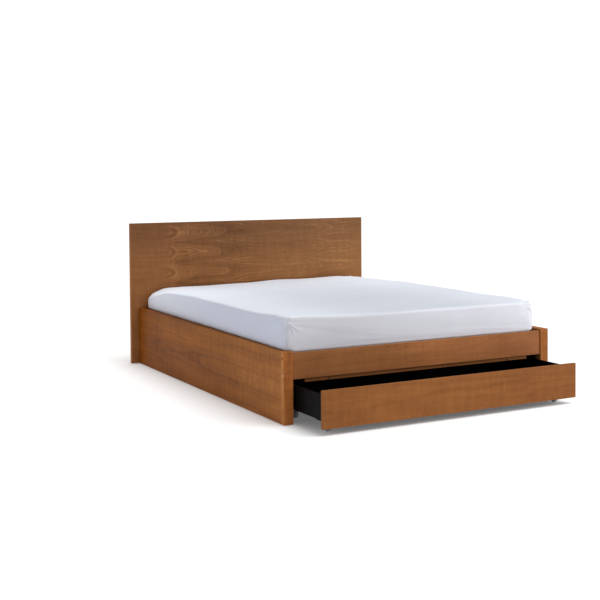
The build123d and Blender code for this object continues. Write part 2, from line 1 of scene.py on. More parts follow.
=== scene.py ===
"""The looks of a platform bed with a full-width foot drawer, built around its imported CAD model.

Every length is in metres, in the frame of the CAD model: +X to the right, +Y to the headboard, +Z up.
"""

import json
import math

import bpy
import numpy as np
from mathutils import Matrix, Vector


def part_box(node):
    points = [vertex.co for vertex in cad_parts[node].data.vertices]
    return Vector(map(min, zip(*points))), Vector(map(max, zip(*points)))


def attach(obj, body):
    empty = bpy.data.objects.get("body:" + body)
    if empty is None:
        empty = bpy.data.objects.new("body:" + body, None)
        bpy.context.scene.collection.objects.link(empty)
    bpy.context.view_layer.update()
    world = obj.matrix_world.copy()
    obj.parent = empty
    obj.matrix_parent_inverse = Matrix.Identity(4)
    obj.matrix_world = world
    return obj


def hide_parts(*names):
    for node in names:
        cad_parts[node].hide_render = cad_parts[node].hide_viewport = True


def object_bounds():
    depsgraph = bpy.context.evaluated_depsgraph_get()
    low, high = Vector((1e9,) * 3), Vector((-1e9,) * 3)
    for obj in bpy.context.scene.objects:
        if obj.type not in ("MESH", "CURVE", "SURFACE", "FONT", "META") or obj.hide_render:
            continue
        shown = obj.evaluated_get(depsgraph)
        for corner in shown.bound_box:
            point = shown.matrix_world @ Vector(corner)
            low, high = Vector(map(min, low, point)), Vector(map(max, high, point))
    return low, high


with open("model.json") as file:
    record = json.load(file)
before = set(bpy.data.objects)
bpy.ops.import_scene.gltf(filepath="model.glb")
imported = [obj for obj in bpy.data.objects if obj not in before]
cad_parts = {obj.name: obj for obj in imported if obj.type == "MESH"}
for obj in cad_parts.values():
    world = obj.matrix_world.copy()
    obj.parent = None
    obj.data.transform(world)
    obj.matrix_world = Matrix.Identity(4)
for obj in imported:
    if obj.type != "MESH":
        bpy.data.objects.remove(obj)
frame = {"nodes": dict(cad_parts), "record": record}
cad_low, cad_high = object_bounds()

MM = 0.001
AXES = "XYZ"


def rgba(colour):
    return (*colour, 1.0)


# ---------------------------------------------------------------- node helpers
class Graph:
    """One material's nodes, with a short call for each kind that the finishes share."""

    def __init__(self, name, **settings):
        self.material = bpy.data.materials.new(name)
        self.material.use_nodes = True
        self.tree = self.material.node_tree
        self.shader = self.tree.nodes["Principled BSDF"]
        for setting, value in settings.items():
            socket = setting.replace("_", " ").title().replace("Ior", "IOR")
            self.shader.inputs[socket].default_value = value

    def node(self, kind, **settings):
        made = self.tree.nodes.new(kind)
        for key, value in settings.items():
            setattr(made, key, value)
        return made

    def put(self, socket, value):
        """Sets a socket to a number, or links it to another node's output."""
        if isinstance(value, bpy.types.NodeSocket):
            self.tree.links.new(value, socket)
        else:
            socket.default_value = value

    def math(self, operation, *values, clamp=False):
        made = self.node("ShaderNodeMath", operation=operation, use_clamp=clamp)
        for socket, value in zip(made.inputs, values):
            self.put(socket, value)
        return made.outputs[0]

    def vector(self, x, y, z):
        made = self.node("ShaderNodeCombineXYZ")
        for socket, value in zip(made.inputs, (x, y, z)):
            self.put(socket, value)
        return made.outputs[0]

    def parts(self, vector):
        made = self.node("ShaderNodeSeparateXYZ")
        self.put(made.inputs[0], vector)
        return made.outputs

    def place(self):
        """The point's three coordinates in the piece's own frame."""
        return self.parts(self.node("ShaderNodeTexCoord").outputs["Object"])

    def facing(self):
        """The sizes of the surface normal's three parts in the piece's own frame."""
        normal = self.parts(self.node("ShaderNodeTexCoord").outputs["Normal"])
        return [self.math("ABSOLUTE", part) for part in normal]

    def noise(self, vector, scale, detail=2.0, roughness=0.5, distortion=0.0):
        made = self.node("ShaderNodeTexNoise")
        self.put(made.inputs["Vector"], vector)
        made.inputs["Scale"].default_value = scale
        made.inputs["Detail"].default_value = detail
        made.inputs["Roughness"].default_value = roughness
        made.inputs["Distortion"].default_value = distortion
        return made.outputs[0]

    def noise_line(self, value, scale, detail=2.0, roughness=0.5):
        """Noise along one number."""
        made = self.node("ShaderNodeTexNoise", noise_dimensions="1D")
        self.put(made.inputs["W"], value)
        made.inputs["Scale"].default_value = scale
        made.inputs["Detail"].default_value = detail
        made.inputs["Roughness"].default_value = roughness
        return made.outputs[0]

    def blend(self, factor, a, b):
        made = self.node("ShaderNodeMix", data_type="FLOAT")
        for index, value in ((0, factor), (2, a), (3, b)):
            self.put(made.inputs[index], value)
        return made.outputs[0]

    def tint(self, factor, a, b, mode="MIX"):
        made = self.node("ShaderNodeMix", data_type="RGBA", blend_type=mode)
        for index, value in ((0, factor), (6, a), (7, b)):
            self.put(made.inputs[index], value)
        return made.outputs[2]

    def times(self, colour, amount):
        """A colour multiplied by another, part by part."""
        return self.tint(1.0, colour, amount, "MULTIPLY")

    def fade(self, value, source, low_tint, high_tint):
        """A tint that goes smoothly from one to another over a range of the value."""
        return self.tint(self.spread(value, source), rgba(low_tint), rgba(high_tint))

    def ramp(self, factor, *stops):
        """Colours along a factor: each stop is (place, colour), or (place, grey)."""
        made = self.node("ShaderNodeValToRGB")
        self.put(made.inputs[0], factor)
        elements = made.color_ramp.elements
        while len(elements) < len(stops):
            elements.new(0.5)
        for element, (place, colour) in zip(elements, stops):
            element.position = place
            element.color = rgba(colour if isinstance(colour, tuple) else (colour,) * 3)
        return made.outputs[0]

    def spread(self, value, source, target=(0.0, 1.0)):
        """A number moved smoothly from its source range to the target range."""
        made = self.node("ShaderNodeMapRange", interpolation_type="SMOOTHSTEP")
        for socket, entry in zip(made.inputs, (value, *source, *target)):
            self.put(socket, entry)
        return made.outputs[0]

    def profile(self, value, points):
        """A smooth curve through (value, result) points, all of whose results lie from 0 to 1."""
        low, high = points[0][0], points[-1][0]
        share = self.math("DIVIDE", self.math("SUBTRACT", value, low), high - low, clamp=True)
        curve = self.ramp(share, *(((place - low) / (high - low), result) for place, result in points))
        curve.node.color_ramp.interpolation = "EASE"
        return curve

    def bump(self, height, distance, strength=1.0, normal=None):
        made = self.node("ShaderNodeBump")
        self.put(made.inputs["Height"], height)
        made.inputs["Distance"].default_value = distance
        made.inputs["Strength"].default_value = strength
        if normal is not None:
            self.put(made.inputs["Normal"], normal)
        return made.outputs[0]

    def finish(self, colour=None, roughness=None, normal=None):
        for name, value in (("Base Color", colour), ("Roughness", roughness), ("Normal", normal)):
            if value is not None:
                self.put(self.shader.inputs[name], value)
        return self.material


# ---------------------------------------------------------------- wood
END_FACING = 0.7  # a face looks along an axis where its normal's part on it is larger
NARROW_SHIFT, LIPPING_SHIFT = 3.1, 5.7  # keep the figure of the edges apart from the face's
SEED_STEP = 3.7
PALE_LINE_WIDTH = 0.06
STREAK_WEIGHT, CLOUD_WEIGHT = 0.42, 0.3
TONE_PLACES = (0.12, 0.38, 0.6, 0.88)
PORE_COVER, PORE_SHADE = 0.35, 0.55
# The lipping strip is made lighter: partly its own paler wood, partly a painted highlight along the foot
# edge.
LIPPING_PALE_WOOD_AND_PAINTED_HIGHLIGHT = (1.34, 1.46, 1.80)


def wood(
    name,
    along,
    across,
    tones,
    seed=0.0,
    leaf=0.135,
    heart=0.0,
    slope=0.09,
    rings=45.0,
    figure=1.0,
    figure_range=None,
    mottle=0.0,
    lipping=None,
    shade=None,
    fades=(),
    flames=None,
    wander=0.075,
    sway=0.045,
    contrast=1.5,
    banding=0.55,
    line=0.12,
    roughness=0.5,
):
    """Sliced veneer. Its growth rings follow a trunk whose heart meets the board at heart, so they
    draw nested flames there and straight lines further off. Each leaf repeats the figure. flames
    gives the trunk's depth below the board at places along it, in place of an even slope, and
    figure_range gives the figure's strength there. The tones go from dark to pale. lipping is the
    place that upright grain reaches from the low end; that strip is also made lighter, partly as
    the lipping's own paler wood and partly as a painted highlight along the foot edge. Each of the
    fades is an axis, a range on it and its two tints: painted light and shade across the board.
    shade tints the board's ends and its long edges lighter or darker: painted light and shade for
    how they face the lamps."""
    g = Graph(name, roughness=roughness, specular_ior_level=0.06)
    place, facing = g.place(), g.facing()
    depth_axis = next(axis for axis in AXES if axis not in (along, across))
    u, v, w = (place[AXES.index(axis)] for axis in (along, across, depth_axis))
    at_end = g.math("GREATER_THAN", facing[AXES.index(along)], END_FACING)
    at_edge = g.math("GREATER_THAN", facing[AXES.index(across)], END_FACING)
    narrow = g.math("MAXIMUM", at_end, at_edge)
    upright = at_end
    if lipping is not None:
        in_lipping = g.math("LESS_THAN", u, lipping)
        on_face = g.math("SUBTRACT", 1.0, narrow)
        in_lipping = g.math("MULTIPLY", in_lipping, on_face)
        upright = g.math("MAXIMUM", at_end, in_lipping)
    run = g.blend(upright, u, v)
    rise = g.blend(narrow, v, g.math("ADD", w, NARROW_SHIFT))
    if lipping is not None:
        rise = g.blend(in_lipping, rise, g.math("ADD", u, LIPPING_SHIFT))

    leaf_place = g.math("ADD", g.math("DIVIDE", rise, leaf), seed)
    leaf_number = g.math("FLOOR", leaf_place)
    in_leaf = g.math("MULTIPLY", g.math("SUBTRACT", g.math("FRACT", leaf_place), 0.5), leaf)
    lean = g.noise(
        g.vector(run, g.math("MULTIPLY", leaf_number, 0.31), seed),
        scale=2.3, detail=3.0, roughness=0.55,
    )
    lean = g.math("SUBTRACT", lean, 0.5)
    curl = g.noise(
        g.vector(run, g.math("MULTIPLY", rise, 5.0), seed + 7.0),
        scale=3.5, detail=3.0, roughness=0.6,
    )
    curl = g.math("SUBTRACT", curl, 0.5)
    offset = g.math("MULTIPLY_ADD", curl, sway, in_leaf)
    if flames is None:
        depth = g.math("MULTIPLY", g.math("SUBTRACT", run, heart), slope)
    else:
        depth = g.profile(run, flames)
    depth = g.math("MULTIPLY_ADD", lean, wander, depth)
    radius = g.math("SQRT", g.math("MULTIPLY_ADD", offset, offset, g.math("MULTIPLY", depth, depth)))
    ring = g.noise_line(
        g.math("ADD", radius, seed * SEED_STEP), scale=rings, detail=4.0, roughness=0.62,
    )
    ring = g.math("SUBTRACT", ring, 0.5)
    pale_line = g.spread(g.math("ABSOLUTE", ring), (0.0, PALE_LINE_WIDTH), (line, -0.3 * line))
    ring = g.math("MULTIPLY_ADD", ring, contrast, pale_line)
    if figure_range is not None:
        ring = g.math("MULTIPLY", ring, g.profile(run, figure_range))

    streak = g.noise(
        g.vector(g.math("MULTIPLY", run, 0.045), rise, seed + 3.0),
        scale=60.0, detail=5.0, roughness=0.65,
    )
    band = g.noise(
        g.vector(g.math("MULTIPLY", run, 0.18), rise, seed + 5.0),
        scale=9.0, detail=3.0, roughness=0.55,
    )
    fleck = g.noise(
        g.vector(run, g.math("MULTIPLY", rise, 0.22), seed + 9.0),
        scale=38.0, detail=3.0, roughness=0.6,
    )
    cloud = g.noise(g.vector(run, rise, w), scale=3.2, detail=2.0, roughness=0.5)
    tone = g.math("MULTIPLY_ADD", ring, figure, 0.5)
    for part, weight in ((streak, STREAK_WEIGHT), (band, banding), (fleck, mottle), (cloud, CLOUD_WEIGHT)):
        tone = g.math("MULTIPLY_ADD", g.math("SUBTRACT", part, 0.5), weight, tone)

    pore_field = g.noise(
        g.vector(g.math("MULTIPLY", run, 0.05), rise, seed + 11.0),
        scale=620.0, detail=2.0, roughness=0.5,
    )
    pore = g.ramp(pore_field, (0.30, 1.0), (0.42, 0.0))
    colour = g.ramp(tone, *zip(TONE_PLACES, tones))
    pore_tone = rgba(part * PORE_SHADE for part in tones[0])
    colour = g.tint(g.math("MULTIPLY", pore, PORE_COVER), colour, pore_tone)
    if lipping is not None:
        # Lightens the lipping strip: its own paler wood plus a painted highlight.
        colour = g.tint(in_lipping, colour, g.times(colour, rgba(LIPPING_PALE_WOOD_AND_PAINTED_HIGHLIGHT)))
    # Painted light and shade: each tint below lightens or darkens the board along one axis.
    for axis, low, high, low_tint, high_tint in fades:
        colour = g.times(colour, g.fade(place[AXES.index(axis)], (low, high), low_tint, high_tint))
    # Painted light and shade: the ends and long edges are tinted lighter or darker for how they face the
    # lamps.
    if shade is not None:
        for mask, amount in ((at_end, shade[0]), (at_edge, shade[1])):
            colour = g.tint(mask, colour, g.times(colour, rgba(amount)))
    height = g.math("MULTIPLY_ADD", pore, -1.0, g.math("MULTIPLY", streak, 0.5))
    rough = g.math("MULTIPLY_ADD", g.math("SUBTRACT", streak, 0.5), 0.18, roughness)
    return g.finish(colour, rough, g.bump(height, 0.06 * MM, 0.6))


# One walnut veneer in four tone sets: each board's set is lighter or darker partly as painted light and
# shade for how the lamps fall on it, partly from the veneer's own differences between leaves.
WALNUT_HEADBOARD_WITH_PAINTED_LIGHT = (
    (0.137, 0.056, 0.021), (0.228, 0.096, 0.034),
    (0.292, 0.125, 0.045), (0.468, 0.211, 0.076),
)
WALNUT_SIDE_WITH_PAINTED_LIGHT = (
    (0.131, 0.042, 0.009), (0.218, 0.073, 0.016),
    (0.283, 0.098, 0.021), (0.392, 0.141, 0.031),
)
WALNUT_FRONT_WITH_PAINTED_LIGHT = (
    (0.151, 0.055, 0.016), (0.248, 0.092, 0.026),
    (0.313, 0.118, 0.034), (0.400, 0.158, 0.048),
)
WALNUT_RAIL_WITH_PAINTED_LIGHT = (
    (0.190, 0.070, 0.023), (0.313, 0.119, 0.038),
    (0.394, 0.151, 0.049), (0.503, 0.203, 0.070),
)
# The slats' pine is painted near black: painted shade for the dark gap between the mattress and the
# panels.
DARK_PINE_PAINTED_SHADE = (
    (0.030, 0.014, 0.006), (0.050, 0.024, 0.011),
    (0.070, 0.035, 0.016), (0.105, 0.055, 0.027),
)
LIPPING_WIDTH = 30 * MM
PLAIN_WOOD_TONES = {"stained_pine": DARK_PINE_PAINTED_SHADE, "walnut_veneer": WALNUT_SIDE_WITH_PAINTED_LIGHT}


def walnut_boards():
    """The visible boards, each with its own leaves of veneer."""
    foot_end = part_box("left_side_panel")[0].y
    left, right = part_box("headboard_panel")[0].x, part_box("headboard_panel")[1].x
    trunk_depth = (
        (left, 0.0), (-0.64, 0.0), (-0.52, 0.052), (-0.40, 0.060), (0.02, 0.092), (0.30, 0.096),
        (0.70, 0.110), (right, 0.114),
    )
    figure_strength = (
        (left, 0.05), (-0.66, 0.1), (-0.57, 1.0), (-0.40, 0.9), (-0.12, 0.9), (0.10, 0.25),
        (0.40, 0.2), (0.62, 0.45), (right, 0.2),
    )
    lipping = foot_end + LIPPING_WIDTH
    even = (1.0, 1.0, 1.0)
    # Painted light and shade: these tints make each board lighter or darker along an axis, for how the
    # lamps fall across it.
    left_panel_painted_light = (
        ("Y", foot_end, 0.1, (1.26, 1.32, 1.33), (0.93, 0.85, 0.47)),
        ("Y", 0.1, cad_high.y, even, (0.83, 0.74, 0.40)),
    )
    right_panel_painted_light = (("Y", foot_end, cad_high.y, (1.18, 1.20, 1.18), (0.96, 0.93, 0.80)),)
    headboard_painted_light = (
        ("Z", 0.5, 0.93, (1.19, 1.18, 1.12), (0.82, 0.84, 0.93)),
        ("X", left, right, (0.84, 0.81, 0.84), (1.03, 1.08, 1.16)),
    )
    rail_painted_light = (
        ("X", left, 0.1, (0.77, 0.77, 0.83), (1.03, 1.03, 1.09)),
        ("X", 0.1, right, even, (0.79, 0.78, 0.86)),
    )
    front_painted_light = (("X", -0.3, right, (0.90, 0.89, 0.90), (0.78, 0.75, 0.75)),)
    return {
        "headboard_panel": wood(
            "walnut_headboard", "X", "Z", WALNUT_HEADBOARD_WITH_PAINTED_LIGHT, seed=0.18, flames=trunk_depth,
            rings=65.0, figure=0.8, figure_range=figure_strength, wander=0.04, sway=0.035, contrast=0.36,
            line=0.36, mottle=0.3, banding=0.35, shade=((1.25, 1.2, 1.1), even), fades=headboard_painted_light,
        ),
        "left_side_panel": wood(
            "walnut_left_side", "Y", "Z", WALNUT_SIDE_WITH_PAINTED_LIGHT, seed=1.6, heart=-0.45, slope=0.05, leaf=0.19,
            figure=0.45, mottle=0.5, lipping=lipping, shade=((1.08, 1.02, 1.24), even), fades=left_panel_painted_light,
        ),
        "right_side_panel": wood(
            "walnut_right_side", "Y", "Z", WALNUT_SIDE_WITH_PAINTED_LIGHT, seed=2.9, heart=0.3, slope=0.05, leaf=0.19,
            figure=0.45, mottle=0.5, lipping=lipping, shade=((0.94, 0.89, 0.99), even), fades=right_panel_painted_light,
        ),
        "foot_rail": wood(
            "walnut_foot_rail", "X", "Z", WALNUT_RAIL_WITH_PAINTED_LIGHT, seed=4.3, heart=-1.4, slope=0.05, leaf=0.16,
            figure=0.35, mottle=0.3, line=0.06, fades=rail_painted_light,
        ),
        "drawer_front": wood(
            "walnut_drawer_front", "X", "Z", WALNUT_FRONT_WITH_PAINTED_LIGHT, seed=5.2, heart=1.3, slope=0.05, leaf=0.21,
            figure=0.3, mottle=0.35, line=0.06, fades=front_painted_light,
        ),
        "drawer_stop_batten": wood(
            "walnut_stop_batten", "X", "Z", WALNUT_RAIL_WITH_PAINTED_LIGHT, seed=6.1, heart=-3.0, slope=0.03, figure=0.4,
        ),
    }


# ---------------------------------------------------------------- other finishes
def black_laminate():
    """Black melamine with a faint pressed grain and a dusty bloom, darkened below its own black as painted
    shade.
    """
    g = Graph("black_laminate_painted_shade_finish", specular_ior_level=0.04)
    x, y, z = g.place()
    point = g.vector(x, y, z)
    pressed = g.noise(
        g.vector(g.math("MULTIPLY", x, 0.2), g.math("MULTIPLY", y, 0.2), z),
        scale=420.0, detail=3.0, roughness=0.6,
    )
    dust = g.noise(point, scale=14.0, detail=4.0, roughness=0.65)
    # Painted shade: the black is pushed far below the laminate's own black, for the shaded space under the
    # bed; the dust varies it.
    colour = g.ramp(dust, (0.3, (0.0010, 0.0010, 0.0013)), (0.7, (0.0024, 0.0024, 0.0030)))
    rough = g.spread(dust, (0.3, 0.7), (0.42, 0.56))
    return g.finish(colour, rough, g.bump(pressed, 0.05 * MM, 0.5))


def zinc_steel():
    """Bright zinc plate on pressed steel: fine brushing and cloudy passivation."""
    g = Graph("zinc_steel_finish", metallic=1.0)
    x, y, z = g.place()
    brushed = g.noise(g.vector(g.math("MULTIPLY", x, 0.06), y, z), scale=900.0, detail=2.0, roughness=0.5)
    cloud = g.noise(g.vector(x, y, z), scale=60.0, detail=3.0, roughness=0.6)
    colour = g.ramp(cloud, (0.3, (0.50, 0.50, 0.49)), (0.7, (0.68, 0.68, 0.66)))
    rough = g.spread(cloud, (0.25, 0.75), (0.26, 0.42))
    return g.finish(colour, rough, g.bump(brushed, 0.03 * MM, 0.4))


def moulded(name, colour, lighter, roughness):
    """Moulded plastic with a fine spark-eroded grain."""
    g = Graph(name, specular_ior_level=0.5)
    x, y, z = g.place()
    point = g.vector(x, y, z)
    cloud = g.noise(point, scale=55.0, detail=3.0, roughness=0.6)
    fine = g.noise(point, scale=900.0, detail=2.0, roughness=0.5)
    tone = g.ramp(cloud, (0.3, colour), (0.7, lighter))
    rough = g.spread(cloud, (0.25, 0.75), (roughness - 0.06, roughness + 0.06))
    return g.finish(tone, rough, g.bump(fine, 0.05 * MM, 0.4))


SLUB_PITCHES = 14.0  # thread pitches in one slub


def woven(name, warp_axis, weft_axis, pitch, colour, darker):
    """Plain weave: over and under threads of one pitch along two axes, with slubs."""
    g = Graph(name, roughness=0.9, sheen_weight=0.0, sheen_roughness=0.4, specular_ior_level=0.2)
    place = g.place()
    a, b = place[AXES.index(warp_axis)], place[AXES.index(weft_axis)]
    turn = math.pi / pitch
    over = g.math("SINE", g.math("MULTIPLY", a, turn))
    under = g.math("SINE", g.math("MULTIPLY", b, turn))
    cloth = g.math("MULTIPLY", over, under)
    slub = g.noise(
        g.vector(*place), scale=1.0 / (pitch * SLUB_PITCHES), detail=3.0, roughness=0.6,
    )
    cloud = g.noise(g.vector(*place), scale=8.0, detail=3.0, roughness=0.5)
    tone = g.math("MULTIPLY_ADD", slub, 0.5, g.math("MULTIPLY", cloud, 0.5))
    tone = g.math("MULTIPLY_ADD", cloth, 0.18, tone)
    colour = g.ramp(tone, (0.2, darker), (0.8, colour))
    height = g.math("MULTIPLY_ADD", cloth, 0.5, slub)
    return g.finish(colour, None, g.bump(height, 0.25 * MM, 0.35))


def felt():
    """Pressed wool felt: tangled fibres and a soft nap."""
    g = Graph("felt_finish", roughness=0.95, sheen_weight=0.5, sheen_roughness=0.6, specular_ior_level=0.1)
    point = g.vector(*g.place())
    fibre = g.noise(point, scale=700.0, detail=5.0, roughness=0.75, distortion=1.5)
    colour = g.ramp(fibre, (0.3, (0.02, 0.015, 0.012)), (0.7, (0.06, 0.045, 0.035)))
    return g.finish(colour, None, g.bump(fibre, 0.4 * MM, 0.8))


SIDE_FACING = (0.5, 0.9)  # a normal's part along an axis, from none of the side's painted light to all


def cotton_sheet():
    """Fine white percale with a cool tint and the faint slubs of its yarn. Painted light and shade:
    its top is darker in the middle and at the foot end than at its rim and its head end, and its
    end and side faces grow lighter or darker along them, for how the lamps fall."""
    g = Graph(
        "sheet_cotton_finish", roughness=0.85, sheen_weight=0.12, sheen_roughness=0.35,
        specular_ior_level=0.25,
    )
    x, y, z = g.place()
    facing = g.facing()
    point = g.vector(x, y, z)
    flat_z = g.math("MULTIPLY", z, 0.5)
    warp = g.noise(
        g.vector(x, g.math("MULTIPLY", y, 0.04), flat_z),
        scale=1400.0, detail=2.0, roughness=0.5,
    )
    weft = g.noise(
        g.vector(g.math("MULTIPLY", x, 0.04), y, flat_z),
        scale=1400.0, detail=2.0, roughness=0.5,
    )
    crumple_and_crease_shade = g.noise(point, scale=26.0, detail=4.0, roughness=0.55, distortion=0.6)
    cloud = g.noise(point, scale=2.5, detail=2.0, roughness=0.5)
    # This noise also darkens the sheet where its bump is low: painted shade in the creases, beside the
    # cloud's random tone.
    tone = g.math("MULTIPLY_ADD", cloud, 0.6, g.math("MULTIPLY", crumple_and_crease_shade, 0.4))
    colour = g.ramp(tone, (0.25, (0.588, 0.609, 0.674)), (0.75, (0.627, 0.649, 0.712)))

    # Painted light and shade on the sheet: the top is lighter towards the head and the rim, and the end
    # and side faces lighten or darken along them.
    to_head = g.spread(y, (-0.3, 1.0))
    to_rim = g.spread(g.math("ABSOLUTE", x), (0.15, 0.75))
    painted_top_light_share = g.math("MULTIPLY", g.math("ADD", to_head, to_rim), 0.5)
    top_painted_light = g.tint(painted_top_light_share, rgba((0.92, 0.94, 0.94)), rgba((1.27, 1.28, 1.27)))
    end_faces_painted_light = g.fade(x, (-0.75, 0.2), (0.91, 0.88, 0.86), (1.09, 1.06, 1.04))
    side_faces_painted_light = g.fade(y, (-0.2, 1.0), (0.95, 0.97, 1.03), (1.10, 1.10, 1.12))
    face_painted_light = g.tint(g.spread(facing[1], SIDE_FACING), top_painted_light, end_faces_painted_light)
    face_painted_light = g.tint(g.spread(facing[0], SIDE_FACING), face_painted_light, side_faces_painted_light)
    threads = g.bump(g.math("ADD", warp, weft), 0.05 * MM, 0.4)
    return g.finish(g.times(colour, face_painted_light), None, g.bump(crumple_and_crease_shade, 0.8 * MM, 0.35, threads))


DIAMOND = 90 * MM


def quilted_ticking():
    """Knitted mattress ticking, quilted in a diamond pattern."""
    g = Graph("mattress_ticking_finish", roughness=0.92, sheen_weight=0.2, specular_ior_level=0.2)
    x, y, z = g.place()
    turn = math.pi / DIAMOND
    one = g.math("ABSOLUTE", g.math("SINE", g.math("MULTIPLY", g.math("ADD", x, y), turn)))
    two = g.math("ABSOLUTE", g.math("SINE", g.math("MULTIPLY", g.math("SUBTRACT", x, y), turn)))
    quilt_puff_and_groove_shade = g.math("POWER", g.math("MULTIPLY", one, two), 0.35)
    knit = g.noise(g.vector(x, y, z), scale=650.0, detail=3.0, roughness=0.6)
    # The quilting grooves are darker than the puffs: painted shade where the bump is low.
    colour = g.ramp(quilt_puff_and_groove_shade, (0.05, (0.52, 0.51, 0.49)), (0.6, (0.76, 0.75, 0.73)))
    return g.finish(colour, None, g.bump(g.math("MULTIPLY_ADD", knit, 0.08, quilt_puff_and_groove_shade), 5 * MM, 0.7))


def finishes_by_slot():
    """One finish for each material slot of the record, apart from the visible walnut boards."""
    return {
        "walnut_veneer": None,
        "black_laminate": black_laminate(),
        "stained_pine": None,
        "zinc_steel": zinc_steel(),
        "grey_wheel": moulded("grey_wheel_finish", (0.25, 0.25, 0.29), (0.32, 0.32, 0.36), 0.45),
        "nylon": moulded("nylon_finish", (0.66, 0.65, 0.60), (0.76, 0.75, 0.70), 0.4),
        "brown_cap": moulded("brown_cap_finish", (0.46, 0.33, 0.22), (0.56, 0.41, 0.28), 0.45),
        "felt": felt(),
        "webbing": woven("webbing_finish", "X", "Y", 1.6 * MM, (0.78, 0.75, 0.68), (0.55, 0.52, 0.46)),
    }


# ---------------------------------------------------------------- CAD nodes
EDGE_ROUNDING = 1.2 * MM
WELD_REACH = 0.01 * MM
FLAT_WITHIN = math.radians(0.5)
EDGE_ANGLE = math.radians(50)
PLAIN_WOOD_VARIANTS = 3
ROUNDED = (
    "headboard_panel", "left_side_panel", "right_side_panel", "foot_rail", "drawer_front",
    "drawer_stop_batten", "drawer_left_side", "drawer_right_side", "drawer_back",
)


def slot_of_nodes():
    """The record's material slot of each node."""
    found = {}
    for part in frame["record"]["subparts"]:
        found[part.get("node", part.get("name"))] = part.get("material_slot", part.get("material"))
    return found


def longest_axes(node):
    """The names of a node's longest and second longest axes."""
    low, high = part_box(node)
    size = high - low
    order = sorted(range(3), key=lambda axis: -size[axis])
    return AXES[order[0]], AXES[order[1]]


def paint(node, material):
    """Gives every material slot of a CAD node one material."""
    piece = frame["nodes"][node]
    for material_slot in piece.material_slots:
        material_slot.material = material


def round_edges(node):
    """Eases a board's sharp edges. The CAD mesh itself stays as it is."""
    piece = frame["nodes"][node]
    weld = piece.modifiers.new("weld", "WELD")
    weld.merge_threshold = WELD_REACH
    flat = piece.modifiers.new("flat_faces", "DECIMATE")
    flat.decimate_type = "DISSOLVE"
    flat.angle_limit = FLAT_WITHIN
    bevel = piece.modifiers.new("eased_edges", "BEVEL")
    bevel.width = EDGE_ROUNDING
    bevel.segments = 2
    bevel.limit_method = "ANGLE"
    bevel.angle_limit = EDGE_ANGLE
    bevel.harden_normals = True


def dress_cad_nodes():
    """Paints every CAD node and eases the edges of the boards."""
    boards = walnut_boards()
    finishes = finishes_by_slot()
    plain_woods = {}
    for node, slot in slot_of_nodes().items():
        if node in boards:
            paint(node, boards[node])
        elif slot in PLAIN_WOOD_TONES:
            # Nodes of the stained_pine slot take the dark pine tones, which are painted shade.
            along, across = longest_axes(node)
            key = slot, along, across, len(plain_woods) % PLAIN_WOOD_VARIANTS
            if key not in plain_woods:
                number = len(plain_woods)
                plain_woods[key] = wood(
                    f"{slot}_{along}{across}_{number}", along, across, PLAIN_WOOD_TONES[slot],
                    seed=7.3 + number, leaf=0.4, heart=-2.0 + number, slope=0.04, rings=110.0,
                    figure=0.8, roughness=0.55,
                )
            paint(node, plain_woods[key])
        elif finishes.get(slot) is not None:
            paint(node, finishes[slot])
    for node in ROUNDED:
        round_edges(node)


# ---------------------------------------------------------------- mattress and fitted sheet
MATTRESS_LOW, MATTRESS_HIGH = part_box("mattress")
PANEL_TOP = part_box("left_side_panel")[1].z
PANEL_INNER_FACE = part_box("left_side_panel")[1].x
SLAT_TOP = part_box("slat_06")[1].z
MATTRESS_GAP = 0.3 * MM
SKEW = PANEL_INNER_FACE + 2 * MATTRESS_GAP - MATTRESS_LOW.x
MATTRESS_WIDTH = MATTRESS_HIGH.x - MATTRESS_LOW.x - SKEW
PLAN_RADIUS = 36 * MM
TOP_RADIUS = 15 * MM
BOTTOM_RADIUS = 8 * MM
SIDE_BULGE = 3.5 * MM
SUNKEN_HEAD = 16 * MM
SETTLED_HEAD = 13 * MM
RAISED_CORNER = 17 * MM
HOLLOW_MIDDLE = 7 * MM
SHOULDER = 47 * MM
SHOULDER_REACH = 140 * MM
SHOULDER_SHARES = (0.80, 1.0)  # of the length, from none of the shoulder to all
SUNKEN_SHARES = (0.55, 1.0)
LEVEL_SHARES = (0.2, 0.8)  # of the width, from the settled left side to the level right one
RAISED_REACH_X, RAISED_REACH_Y = 200 * MM, 220 * MM
BULGE_ROUNDNESS = 0.8
PANEL_BLEND = 25 * MM
REST_GAP = 0.5 * MM
SHEET_PROUD = 2.5 * MM
BODY_INSET = 7 * MM
CREASE_CLEARANCE = 2.5 * MM
DEEPEST_CREASE = SHEET_PROUD + BODY_INSET - CREASE_CLEARANCE
TUCK = 95 * MM
FINE_CELL = 3.5 * MM
COARSE_CELL = 19 * MM
SIDE_CELL = 5 * MM
GRADING = 0.065


def grid_lines(half):
    """Places across a face: close together near both edges, and wider apart in the middle."""
    places = [0.0]
    while places[-1] < half - COARSE_CELL:
        places.append(places[-1] + min(COARSE_CELL, FINE_CELL + GRADING * places[-1]))
    edge = np.array(places) * half / (places[-1] + COARSE_CELL / 2)
    return np.concatenate([-half + edge, half - edge[::-1]])


